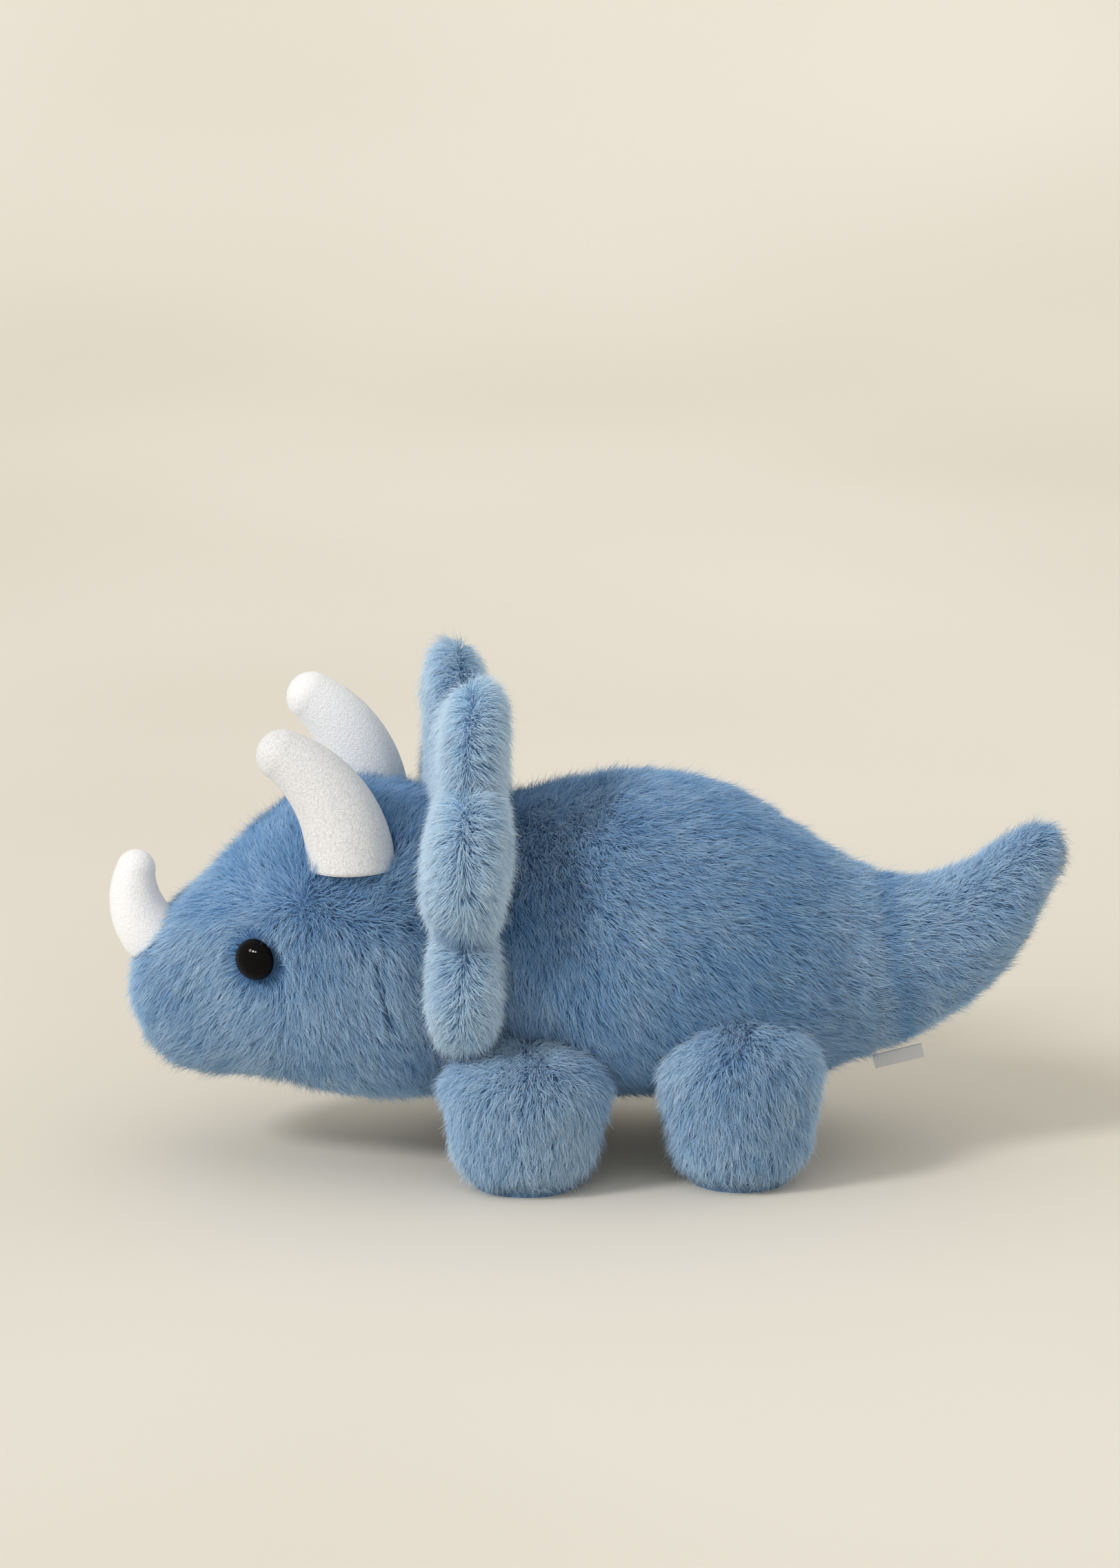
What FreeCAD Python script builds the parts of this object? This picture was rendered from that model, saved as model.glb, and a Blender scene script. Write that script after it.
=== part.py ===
"""Stuffed triceratops toy: fur shell panels over stuffing, with eyes, horns, frill, legs and tail.

Frame: origin on the ground under the middle of the toy's box, +Z up, the head towards -X,
the toy's left side towards -Y. Millimetres.
"""
import FreeCAD, Part
import os

from FreeCAD import Placement, Rotation, Vector

FORWARD = Rotation(Vector(0, 1, 0), -90)  # turns a flat ring to stand across the X axis, tall side up
SIDES = {"left": -1, "right": 1}

# alias: (value, what it is)
SIZES = {
    "reach": (400.0, "half-space boxes reach this far past everything"),
    "fur": (4.0, "fur panel, backing and lying pile together"),
    "velour": (1.5, "horn fabric"),
    "gap": (0.5, "clearance between parts that flex against each other"),
    "neck_x": (-28.0, "neck pivot"),
    "neck_z": (77.5, "neck pivot"),
    "neck_ball": (20.0, "stuffing that passes through the neck opening, radius"),
    "rump_x": (107.0, "tail pivot"),
    "rump_z": (70.5, "tail pivot"),
    "rump_ball": (17.0, "stuffing that passes through the tail opening, radius"),
    "belly_wide": (24.0, "belly panel and forehead gusset width"),
    "belly_high": (31.0, "top of the belly panel"),
    "brow_high": (80.0, "bottom of the forehead gusset"),
    "front_x": (-22.7, "front leg axis"),
    "front_y": (42.5, "front leg axis from the middle plane"),
    "front_hip": (34.5, "front leg pivot height"),
    "front_size": (31.0, "front leg radius"),
    "rear_x": (53.0, "rear leg axis"),
    "rear_y": (37.5, "rear leg axis from the middle plane"),
    "rear_hip": (38.5, "rear leg pivot height"),
    "rear_size": (30.0, "rear leg radius"),
    "foot_draw": (3.5, "how much a leg narrows from its pivot to its rounded foot"),
    "foot_round": (9.5, "rounding between a leg's side and its sole"),
    "sole": (3.0, "sole disc thickness"),
    "hip_room": (4.0, "room round a leg below its pivot for it to swing"),
    "nod_room": (8.5, "room behind the jaw and frill for the head to nod towards a front leg"),
    "horn_room": (4.5, "room round a horn above its pivot for it to flex"),
    "horn_lean": (9.0, "how far that room leans forward of the horn's root, degrees"),
    "frill_x": (-44.0, "middle of the frill's thickness"),
    "frill_z": (107.5, "centre of the frill's round middle"),
    "top_lobe_y": (31.0, "upper lobe's centre from the middle plane"),
    "top_lobe_z": (153.0, "upper lobe's centre"),
    "top_lobe_size": (28.0, "upper lobe radius"),
    "side_lobe_y": (48.0, "middle lobe's centre from the middle plane"),
    "side_lobe_z": (118.0, "middle lobe's centre"),
    "side_lobe_size": (31.0, "middle lobe radius"),
    "low_lobe_y": (42.0, "lower lobe's centre from the middle plane"),
    "low_lobe_z": (75.5, "lower lobe's centre"),
    "low_lobe_size": (28.0, "lower lobe radius"),
    "frill_half": (16.0, "half thickness of a lobe"),
    "frill_disc": (61.0, "radius of the middle of the frill"),
    "frill_flat": (12.5, "half thickness of the middle of the frill"),
    "eye_x": (-117.5, "eye centre on the fur"),
    "eye_y": (42.4, "eye centre from the middle plane"),
    "eye_z": (82.0, "eye centre"),
    "eye_turn": (28.0, "eye axis, degrees forward of straight out"),
    "eye_size": (7.5, "eye dome radius"),
    "eye_dome": (5.5, "eye dome height"),
    "eye_stem": (2.5, "eye stem radius"),
    "stem_long": (11.0, "eye stem length"),
    "washer_size": (9.5, "washer radius"),
    "washer_thick": (1.8, "washer thickness"),
    "washer_deep": (5.4, "washer's outer face below the eye dome"),
    "label_x": (102.0, "care label's sewn end"),
    "label_y": (-6.5, "care label's middle"),
    "label_z": (32.0, "care label's lower corner at its sewn end"),
    "label_long": (18.0, "care label length"),
    "label_high": (5.0, "care label width"),
    "label_thick": (0.8, "folded care label thickness"),
    "label_tilt": (14.0, "care label's rise towards its free end, degrees"),
    "stitch_x": (-6.0, "first closing stitch"),
    "stitch_step": (5.5, "pitch of the closing stitches"),
    "stitch_z": (24.3, "closing stitches' height on the belly"),
    "stitch_long": (5.0, "closing stitch length"),
    "thread": (0.4, "thread radius"),
}
STITCHES = 7

# Each soft form runs through upright oval sections: x, middle height, half height, half width.
# A rounded end is a quarter oval past the first or last section: its depth and its side.
FORMS = {
    "torso": [
        (-12.0, 78.2, 54.0, 51.5),
        (-1.0, 79.1, 56.3, 55.0),
        (12.0, 79.9, 57.8, 57.0),
        (33.0, 79.3, 57.0, 56.0),
        (53.0, 77.3, 53.5, 52.5),
        (72.0, 73.3, 47.0, 46.0),
        (92.0, 70.7, 37.0, 34.5),
    ],
    "head": [
        (-157.7, 61.9, 19.8, 19.5),
        (-148.0, 63.1, 29.5, 28.0),
        (-135.7, 66.8, 36.2, 35.0),
        (-123.5, 72.7, 42.5, 42.0),
        (-108.8, 78.4, 50.0, 48.0),
        (-94.0, 80.8, 56.0, 52.0),
        (-72.0, 79.8, 56.5, 52.0),
        (-52.0, 80.0, 50.0, 44.0),
    ],
    "tail": [
        (107.8, 70.5, 32.0, 29.0),
        (117.0, 72.5, 29.6, 26.0),
        (131.0, 78.8, 27.5, 23.0),
        (145.5, 89.5, 26.0, 20.5),
        (155.0, 99.0, 22.0, 18.0),
        (162.5, 107.5, 14.5, 12.5),
    ],
}
ROUND_ENDS = {"torso": (11.0, 12.0), "head": (6.8, 22.0), "tail": (0.0, 7.66)}
DOME_ANGLES = (20, 40, 60, 78)  # degrees round a quarter oval

# Each horn is an arc: base x, y, z, heading at its base and tip in degrees forward of straight up,
# length along the arc, base radius, tip radius.
HORNS = {
    "horn_left": (-84.0, -33.0, 112.5, 0.0, 60.0, 49.5, 15.0, 8.5),
    "horn_right": (-79.5, 33.0, 113.0, -8.0, 53.0, 49.5, 14.5, 8.0),
    "nose_horn": (-154.3, 0.0, 79.0, 45.0, -14.0, 27.0, 10.5, 6.2),
}
HORN_FIELDS = ("x", "y", "z", "start", "end", "long", "base", "tip")
HORN_SECTIONS = 5
HORN_TAPER = 1.5  # above 1 keeps a horn thick until near its tip

doc = FreeCAD.newDocument("stuffed_triceratops")
sheet = doc.addObject("Spreadsheet::Sheet", "Sheet")
parts = []


def fill_sheet():
    """Write every driving dimension into the sheet, one row each, with its alias and meaning."""
    rows = [(alias, value, note) for alias, (value, note) in SIZES.items()]
    for form, sections in FORMS.items():
        for index, section in enumerate(sections):
            for field, value in zip(("x", "z", "tall", "wide"), section):
                rows.append((f"{form}_{field}_{index}", value, f"{form} section {index}, {field}"))
        for end, depth in zip(("front", "back"), ROUND_ENDS[form]):
            rows.append((f"{form}_{end}_depth", depth, f"{form} {end} rounding depth"))
    for horn, values in HORNS.items():
        for field, value in zip(HORN_FIELDS, values):
            rows.append((f"{horn}_{field}", value, f"{horn} {field}"))
    for number, (alias, value, note) in enumerate(rows, start=1):
        sheet.set(f"A{number}", note)
        sheet.set(f"B{number}", str(value))
        sheet.setAlias(f"B{number}", alias)
    doc.recompute()


def add(kind, name, **bound):
    """Add an object and bind its properties to expressions; Px is Placement.Base.x, and so on."""
    obj = doc.addObject(kind, name)
    places = {"Px": "Placement.Base.x", "Py": "Placement.Base.y", "Pz": "Placement.Base.z"}
    for prop, expression in bound.items():
        obj.setExpression(places.get(prop, prop), expression)
    return obj


def cut(name, base, tool):
    obj = doc.addObject("Part::Cut", name)
    obj.Base = base
    obj.Tool = tool
    return obj


def common(name, base, tool):
    obj = doc.addObject("Part::Common", name)
    obj.Base = base
    obj.Tool = tool
    return obj


def fuse(name, *shapes):
    obj = doc.addObject("Part::MultiFuse", name)
    obj.Shapes = list(shapes)
    return obj


def node(obj, label):
    """Mark a finished sub-part."""
    obj.Label = label
    parts.append(obj)
    return obj


def box(name, x, y, z, long, wide, high):
    """A box from its lowest corner, all six as expressions."""
    return add("Part::Box", name, Px=x, Py=y, Pz=z, Length=long, Width=wide, Height=high)


def ball(name, radius, x, y, z):
    return add("Part::Sphere", name, Radius=radius, Px=x, Py=y, Pz=z)


# ---- soft forms ------------------------------------------------------------------------------


def oval(name, x, z, tall, wide):
    ring = add("Part::Ellipse", name, MajorRadius=tall, MinorRadius=wide)
    ring.Placement = Placement(Vector(0, 0, 0), FORWARD)
    ring.setExpression("Placement.Base.x", x)
    ring.setExpression("Placement.Base.z", z)
    return ring


def soft_form(form, inset, suffix):
    """Loft a form's sections, its sides and rounded ends drawn in by inset."""
    rings = []
    last = len(FORMS[form]) - 1
    ends = {0: ("front", -1), last: ("back", 1)}

    def ring(index, share, shift, tag):
        def middle(field):
            return f"Sheet.{form}_{field}_{index}"

        rings.append(oval(
            f"{form}_{suffix}_{index}_{tag}",
            f"{middle('x')} + {shift}",
            middle("z"),
            f"({middle('tall')} - {inset}) * {share}",
            f"({middle('wide')} - {inset}) * {share}",
        ))

    def dome(index, angles):
        end, side = ends[index]
        for angle in angles:
            share = f"cos({angle} deg)"
            depth = f"(Sheet.{form}_{end}_depth - {inset})"
            ring(index, share, f"({side}) * {depth} * sin({angle} deg)", f"dome{angle}")

    if ROUND_ENDS[form][0]:
        dome(0, reversed(DOME_ANGLES))
        ring(0, "1", "0", "side")
    else:
        ring(0, "1", inset, "side")
    for index in range(1, last + 1):
        ring(index, "1", "0", "side")
    dome(last, DOME_ANGLES)
    loft = doc.addObject("Part::Loft", f"{form}_{suffix}")
    loft.Sections = rings
    loft.Solid = True
    loft.Ruled = True
    return loft


def joint_pocket(name, x, y, z, radius, room, heading, long):
    """Room for a limb: a close ball round its pivot and a wider cylinder along it.

    heading is in degrees forward of straight up; 180 points the cylinder at the ground.
    """
    centre = ball(f"{name}_ball", f"{radius} + Sheet.gap", x, y, z)
    channel = add(
        "Part::Cylinder", f"{name}_channel", Px=x, Py=y, Pz=z,
        Radius=f"{radius} + {room}", Height=long,
    )
    channel.Placement.Rotation = Rotation(Vector(0, 1, 0), -heading)
    return fuse(name, centre, channel)


# ---- legs ------------------------------------------------------------------------------------


def leg_form(name, pair, y, inset):
    """A round-topped column that narrows to a rounded foot; the inset form stops above the sole."""
    x = f"Sheet.{pair}_x"
    hip = f"Sheet.{pair}_hip"
    size = f"(Sheet.{pair}_size - {inset})"
    foot = f"(Sheet.{pair}_size - Sheet.foot_draw - Sheet.foot_round)"
    rounding = "Sheet.foot_round"
    top = ball(f"{name}_top", size, x, y, hip)
    column = add(
        "Part::Cone", f"{name}_column", Radius1=f"{size} - Sheet.foot_draw", Radius2=size,
        Height=f"{hip} - {rounding}", Px=x, Py=y, Pz=rounding,
    )
    core = add(
        "Part::Cylinder", f"{name}_core", Radius=foot, Height=f"{hip} - {inset}",
        Px=x, Py=y, Pz=inset,
    )
    edge = add(
        "Part::Torus", f"{name}_edge", Radius1=foot, Radius2=f"{rounding} - {inset}",
        Px=x, Py=y, Pz=rounding,
    )
    return fuse(name, top, column, core, edge)


def leg(pair, side):
    """Outer and inner fur panels, sole disc and stuffing of one leg."""
    name = f"{pair}_leg_{side}"
    y = f"({SIDES[side]}) * Sheet.{pair}_y"
    outer = leg_form(f"{name}_outside", pair, y, "0")
    inner = leg_form(f"{name}_inside", pair, y, "Sheet.fur")
    sole = add(
        "Part::Cylinder", f"{name}_disc", Height="Sheet.sole", Px=f"Sheet.{pair}_x", Py=y,
        Radius=f"Sheet.{pair}_size - Sheet.foot_draw - Sheet.foot_round",
    )
    shell = cut(f"{name}_shell", cut(f"{name}_hollow", outer, inner), sole)
    away = {-1: f"{y} - Sheet.reach", 1: y}
    near = {-1: y, 1: f"{y} - Sheet.reach"}
    for panel, start in (("outer", away), ("inner", near)):
        half = box(
            f"{name}_{panel}_half", "-Sheet.reach", start[SIDES[side]], "-Sheet.reach",
            "2 * Sheet.reach", "Sheet.reach", "2 * Sheet.reach",
        )
        node(common(f"{name}_{panel}_panel", shell, half), f"{name}_{panel}")
    node(sole, f"{name}_sole")
    node(inner, f"{name}_fill")
    pocket = joint_pocket(
        f"{name}_pocket", f"Sheet.{pair}_x", y, f"Sheet.{pair}_hip",
        f"Sheet.{pair}_size", "Sheet.hip_room", 180, f"Sheet.{pair}_hip",
    )
    return pocket


# ---- horns -----------------------------------------------------------------------------------


def horn_form(name, horn, inset):
    """Circles along an arc, with a ball at its base and a round tip."""
    cell = {field: f"Sheet.{horn}_{field}" for field in HORN_FIELDS}
    bend = f"(({cell['end']} - {cell['start']}) * 1 deg)"
    arc = f"({cell['long']} * 1 rad / {bend})"
    rings = []
    for index in range(HORN_SECTIONS):
        share = index / (HORN_SECTIONS - 1)
        heading = f"({cell['start']} * 1 deg + {bend} * {share})"
        ring = add(
            "Part::Circle", f"{name}_{index}",
            Radius=f"{cell['base']} + ({cell['tip']} - {cell['base']}) * {share ** HORN_TAPER:.4f} - {inset}",
        )
        ring.Placement = Placement(Vector(0, 0, 0), Rotation(Vector(0, 1, 0), -1))
        ring.setExpression("Placement.Rotation.Angle", f"0 deg - {heading}")
        x = f"{cell['x']} + {arc} * (cos({heading}) - cos({cell['start']} * 1 deg))"
        z = f"{cell['z']} + {arc} * (sin({heading}) - sin({cell['start']} * 1 deg))"
        ring.setExpression("Placement.Base.x", x)
        ring.setExpression("Placement.Base.y", cell["y"])
        ring.setExpression("Placement.Base.z", z)
        rings.append(ring)
    tube = doc.addObject("Part::Loft", f"{name}_tube")
    tube.Sections = rings
    tube.Solid = True
    base = ball(f"{name}_base", f"{cell['base']} - {inset}", cell["x"], cell["y"], cell["z"])
    tip = ball(f"{name}_tip", f"{cell['tip']} - {inset}", x, cell["y"], z)
    return fuse(name, base, tube, tip)


def horn(name):
    """Two velour halves and the stuffing of one horn; returns the room it needs in the head."""
    outer = horn_form(f"{name}_outside", name, "0")
    inner = horn_form(f"{name}_inside", name, "Sheet.velour")
    shell = cut(f"{name}_shell", outer, inner)
    for side, start in (("left", f"Sheet.{name}_y - Sheet.reach"), ("right", f"Sheet.{name}_y")):
        half = box(
            f"{name}_{side}_space", "-Sheet.reach", start, "-Sheet.reach",
            "2 * Sheet.reach", "Sheet.reach", "2 * Sheet.reach",
        )
        node(common(f"{name}_{side}_panel", shell, half), f"{name}_{side}_half")
    node(inner, f"{name}_fill")
    lean = HORNS[name][HORN_FIELDS.index("start")] + SIZES["horn_lean"][0]
    return joint_pocket(
        f"{name}_pocket", f"Sheet.{name}_x", f"Sheet.{name}_y", f"Sheet.{name}_z",
        f"Sheet.{name}_base", "Sheet.horn_room", lean, f"Sheet.{name}_long",
    )


# ---- eyes ------------------------------------------------------------------------------------


def eye(side):
    """A domed safety eye on its stem and the washer that locks it inside the head."""
    y = f"({SIDES[side]}) * Sheet.eye_y"
    # local +Z of each piece points out of the head, to the side and a little forward
    facing = Rotation(Vector(0, 0, 1), SIDES[side] * SIZES["eye_turn"][0]).multiply(
        Rotation(Vector(1, 0, 0), -SIDES[side] * 90)
    )
    outward = facing.multVec(Vector(0, 0, 1))

    def piece(kind, name, depth, **bound):
        obj = add(kind, f"eye_{side}_{name}", **bound)
        obj.Placement = Placement(Vector(0, 0, 0), facing)
        obj.setExpression("Placement.Base.x", f"Sheet.eye_x - ({outward.x:.6f}) * ({depth})")
        obj.setExpression("Placement.Base.y", f"{y} - ({outward.y:.6f}) * ({depth})")
        obj.setExpression("Placement.Base.z", "Sheet.eye_z")
        return obj

    washer_back = "Sheet.washer_deep + Sheet.washer_thick"
    dome = piece("Part::Ellipsoid", "dome", "0", Radius1="Sheet.eye_dome", Radius2="Sheet.eye_size",
                 Radius3="Sheet.eye_size")
    dome.Angle1 = 0
    stem = piece("Part::Cylinder", "stem", "Sheet.stem_long", Radius="Sheet.eye_stem",
                 Height="Sheet.stem_long")
    disc = piece("Part::Cylinder", "disc", washer_back, Radius="Sheet.washer_size",
                 Height="Sheet.washer_thick")
    seat = piece("Part::Cylinder", "seat", "0", Radius="Sheet.eye_size", Height="4 * Sheet.fur")
    node(fuse(f"eye_{side}_whole", dome, stem), f"eye_{side}")
    node(cut(f"eye_{side}_ring", disc, stem), f"eye_washer_{side}")
    return [stem, disc, seat]


# ---- frill -----------------------------------------------------------------------------------


def frill_form(name, inset):
    """Three puffy lobes a side round a thinner middle."""
    lobes = [
        ball(
            f"{name}_{lobe}_{side}", f"Sheet.{lobe}_size - {inset}", "Sheet.frill_x",
            f"({sign}) * Sheet.{lobe}_y", f"Sheet.{lobe}_z",
        )
        for lobe in ("top_lobe", "side_lobe", "low_lobe")
        for side, sign in SIDES.items()
    ]
    slab = box(
        f"{name}_slab", f"Sheet.frill_x - Sheet.frill_half + {inset}", "-Sheet.reach",
        "-Sheet.reach", f"2 * (Sheet.frill_half - {inset})", "2 * Sheet.reach", "2 * Sheet.reach",
    )
    middle = add(
        "Part::Cylinder", f"{name}_middle", Radius=f"Sheet.frill_disc - {inset}",
        Height=f"2 * (Sheet.frill_flat - {inset})",
        Px=f"Sheet.frill_x - Sheet.frill_flat + {inset}", Pz="Sheet.frill_z",
    )
    middle.Placement.Rotation = Rotation(Vector(0, 1, 0), 90)
    return fuse(name, common(f"{name}_ring", fuse(f"{name}_lobes", *lobes), slab), middle)


def frill(head_outer, neck):
    """Front and back fur panels and the stuffing of the frill that rings the neck."""
    outer = frill_form("frill_outside", "0")
    inner = frill_form("frill_inside", "Sheet.fur")
    relief = fuse("frill_relief", *[
        ball(
            f"frill_relief_{side}", "Sheet.front_size + Sheet.nod_room + Sheet.gap",
            "Sheet.front_x", f"({sign}) * Sheet.front_y", "Sheet.front_hip",
        )
        for side, sign in SIDES.items()
    ])
    hollow = cut("frill_hollow", outer, inner)
    shell = cut("frill_shell", cut("frill_relieved", hollow, relief), head_outer)
    for panel, start in (("front", "Sheet.frill_x - Sheet.reach"), ("back", "Sheet.frill_x")):
        half = box(
            f"frill_{panel}_half", start, "-Sheet.reach", "-Sheet.reach",
            "Sheet.reach", "2 * Sheet.reach", "2 * Sheet.reach",
        )
        whole = common(f"frill_{panel}_panel", shell, half)
        node(cut(f"frill_{panel}_cut", whole, neck), f"frill_{panel}")
    node(cut("frill_stuffing", cut("frill_core", inner, relief), head_outer), "frill_fill")


# ---- body ------------------------------------------------------------------------------------


def panels(form, hollow, tools, strip=None, strip_label=""):
    """Split a hollow form into side panels and a strip between them, less the tools."""
    if strip:
        slab = strip
        for number, tool in enumerate(tools):
            slab = cut(f"{strip_label}_slab_{number}", slab, tool)
        node(common(f"{form}_strip", hollow, slab), strip_label)
    for side, sign in SIDES.items():
        start = "-Sheet.reach" if sign < 0 else "0"
        half = box(
            f"{form}_{side}_half", "-Sheet.reach", start, "-Sheet.reach",
            "2 * Sheet.reach", "Sheet.reach", "2 * Sheet.reach",
        )
        piece = common(f"{form}_{side}_panel", hollow, half)
        if strip:
            piece = cut(f"{form}_{side}_trimmed", piece, strip)
        for number, tool in enumerate(tools):
            piece = cut(f"{form}_{side}_cut_{number}", piece, tool)
        node(piece, f"{form}_skin_{side}")


def care_label():
    """A folded satin tag caught in the seam under the tail."""
    tag = box(
        "tag", "Sheet.label_x", "Sheet.label_y - Sheet.label_thick / 2", "Sheet.label_z",
        "Sheet.label_long", "Sheet.label_thick", "Sheet.label_high",
    )
    tag.Placement.Rotation = Rotation(Vector(0, 1, 0), -SIZES["label_tilt"][0])
    return node(tag, "care_label")


def closing_stitches():
    """Hand stitches that close the opening the toy was stuffed through, across the belly seam."""
    stitches = []
    for index in range(STITCHES):
        stitch = add(
            "Part::Cylinder", f"stitch_{index}", Radius="Sheet.thread", Height="Sheet.stitch_long",
            Px=f"Sheet.stitch_x + {index} * Sheet.stitch_step",
            Py="-Sheet.belly_wide / 2 + Sheet.stitch_long / 2", Pz="Sheet.stitch_z",
        )
        stitch.Placement.Rotation = Rotation(Vector(1, 0, 0), 90)
        stitches.append(stitch)
    return node(fuse("stitches", *stitches), "closing_stitches")


def torso(pockets):
    outer = soft_form("torso", "0", "outside")
    inner = soft_form("torso", "Sheet.fur", "inside")
    neck = ball("neck_socket", "Sheet.neck_ball + Sheet.gap", "Sheet.neck_x", "0", "Sheet.neck_z")
    rump = ball("rump_socket", "Sheet.rump_ball + Sheet.gap", "Sheet.rump_x", "0", "Sheet.rump_z")
    room = fuse("torso_room", *pockets, neck, rump)
    sewn_in = fuse("torso_sewn_in", care_label(), closing_stitches())
    belly = box(
        "belly_strip", "-Sheet.reach", "-Sheet.belly_wide / 2", "-Sheet.reach",
        "2 * Sheet.reach", "Sheet.belly_wide", "Sheet.reach + Sheet.belly_high",
    )
    panels("torso", cut("torso_hollow", outer, inner), [room, sewn_in], belly, "belly_panel")
    node(cut("torso_stuffing", inner, room), "torso_fill")


def head(sockets, reliefs):
    outer = soft_form("head", "0", "outside")
    inner = soft_form("head", "Sheet.fur", "inside")
    neck = ball("neck_plug", "Sheet.neck_ball", "Sheet.neck_x", "0", "Sheet.neck_z")
    eye_room = eye("left") + eye("right")
    room = fuse("head_room", *sockets, *reliefs, *eye_room)
    brow = box(
        "brow_strip", "-Sheet.reach", "-Sheet.belly_wide / 2", "Sheet.brow_high",
        "2 * Sheet.reach", "Sheet.belly_wide", "Sheet.reach",
    )
    tools = [neck, *sockets, *reliefs, *eye_room]
    panels("head", cut("head_hollow", outer, inner), tools, brow, "forehead_gusset")
    frill(outer, neck)
    node(cut("head_stuffing", fuse("head_core", inner, neck), room), "head_fill")


def tail():
    outer = soft_form("tail", "0", "outside")
    inner = soft_form("tail", "Sheet.fur", "inside")
    plug = ball("rump_plug", "Sheet.rump_ball", "Sheet.rump_x", "0", "Sheet.rump_z")
    panels("tail", cut("tail_hollow", outer, inner), [plug])
    node(fuse("tail_stuffing", inner, plug), "tail_fill")


def check_and_write():
    """Stop on a failed object or a bad shape, then write one STEP file for each sub-part."""
    doc.recompute()
    failed = [obj.Label for obj in doc.Objects if {"Invalid", "Error"} & set(obj.State)]
    if failed:
        raise SystemExit(f"failed objects: {failed}")
    for obj in parts:
        if obj.Shape.isNull() or not obj.Shape.isValid() or not obj.Shape.Solids:
            raise SystemExit(f"bad shape: {obj.Label}")
    os.makedirs("parts", exist_ok=True)
    whole = FreeCAD.BoundBox()
    for obj in parts:
        obj.Shape.exportStep(f"parts/{obj.Label}.step")
        whole.add(obj.Shape.optimalBoundingBox(True, False))
        print(f"{obj.Label:28s} solids {len(obj.Shape.Solids)}  cm3 {obj.Shape.Volume / 1000:8.2f}")
    print("box", [round(value, 2) for value in (
        whole.XMin, whole.XMax, whole.YMin, whole.YMax, whole.ZMin, whole.ZMax)])


fill_sheet()
leg_pockets = [leg(pair, side) for pair in ("front", "rear") for side in SIDES]
torso(leg_pockets)
jaw_reliefs = [
    joint_pocket(
        f"jaw_relief_{side}", "Sheet.front_x", f"({sign}) * Sheet.front_y", "Sheet.front_hip",
        "(Sheet.front_size + Sheet.nod_room)", "2 * Sheet.gap", 180, "Sheet.front_hip",
    )
    for side, sign in SIDES.items()
]
head([horn(name) for name in HORNS], jaw_reliefs)
tail()
check_and_write()
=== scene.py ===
"""Stuffed triceratops: long-pile fur, velour horns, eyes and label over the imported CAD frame.

Metres in the row frame: the head towards -X, the toy's left side towards -Y, the ground at z 0.
"""
import math

import bpy
import numpy as np
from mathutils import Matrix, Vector, bvhtree, kdtree


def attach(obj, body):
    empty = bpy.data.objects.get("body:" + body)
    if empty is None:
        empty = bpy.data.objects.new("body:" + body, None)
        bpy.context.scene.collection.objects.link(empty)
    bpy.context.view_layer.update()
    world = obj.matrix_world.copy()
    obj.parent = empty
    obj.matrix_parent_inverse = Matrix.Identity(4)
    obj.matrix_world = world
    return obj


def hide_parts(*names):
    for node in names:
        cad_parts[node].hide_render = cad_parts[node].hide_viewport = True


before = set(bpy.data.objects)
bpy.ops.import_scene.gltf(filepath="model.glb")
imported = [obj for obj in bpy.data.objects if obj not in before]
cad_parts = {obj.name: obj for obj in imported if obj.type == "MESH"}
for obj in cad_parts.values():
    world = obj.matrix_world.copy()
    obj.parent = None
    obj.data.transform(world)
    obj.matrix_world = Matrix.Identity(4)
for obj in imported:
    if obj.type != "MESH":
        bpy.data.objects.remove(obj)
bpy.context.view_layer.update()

SIDES = {"left": -1, "right": 1}
PILE = 0.0052  # the backing lies this far below the outline that the fur tips make
STRANDS_A_PIECE = 21000
STRANDS_PER_MM2 = 3.3
STRAND = 8.0  # usual length of a strand in millimetres
THIN, THICK = 0.00008, 0.00014  # a strand's radius at its root
GUARD_SHARE, GUARD_LONG, GUARD_THIN = 0.2, 1.3, 0.7  # long thin hairs that stand out of the pile
STRANDS_A_TUFT = 18

# x, middle height, half height and half width of each upright section, in millimetres
TORSO = [
    (-34, 80, 50.5, 47), (-20, 79.2, 53.9, 50.5), (-9, 79.8, 56.2, 53), (0, 80.3, 57.5, 55),
    (12, 81, 58.9, 57), (33, 80.3, 58, 56), (53, 78, 54.2, 52.5), (72, 73.5, 47.2, 46),
    (92, 70.7, 37, 34.5),
]
HEAD = [
    (-164.3, 61.8, 2.5, 2.5), (-163.2, 61.8, 8.5, 8.4), (-161.2, 61.9, 13.8, 13.6),
    (-157.7, 61.9, 19.8, 19.5), (-148, 63.1, 29.5, 28), (-135.7, 66.8, 36.2, 35),
    (-123.5, 72.7, 42.5, 42), (-108.8, 78.4, 50, 48), (-94, 80.8, 56, 52), (-72, 78.8, 57, 52),
    (-54, 77.5, 55, 46),
]
TAIL = [
    (98, 70.6, 33.5, 31), (107.8, 70.5, 32, 29), (117, 72.5, 29.6, 26), (131, 78.8, 27.5, 23),
    (145.5, 89.5, 26, 20.5), (155, 99, 22, 18), (161.5, 106, 16, 13.5), (166, 110, 10.5, 8.6),
    (168.6, 111.5, 5.6, 4.6), (169.8, 112, 1.5, 1.3),
]
# x, y, hip height, radius, rise of the top above the hip
LEGS = {"front": (-22.7, 42.5, 34.5, 31, 20), "rear": (53, 37.5, 38.5, 30, 26)}
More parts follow.
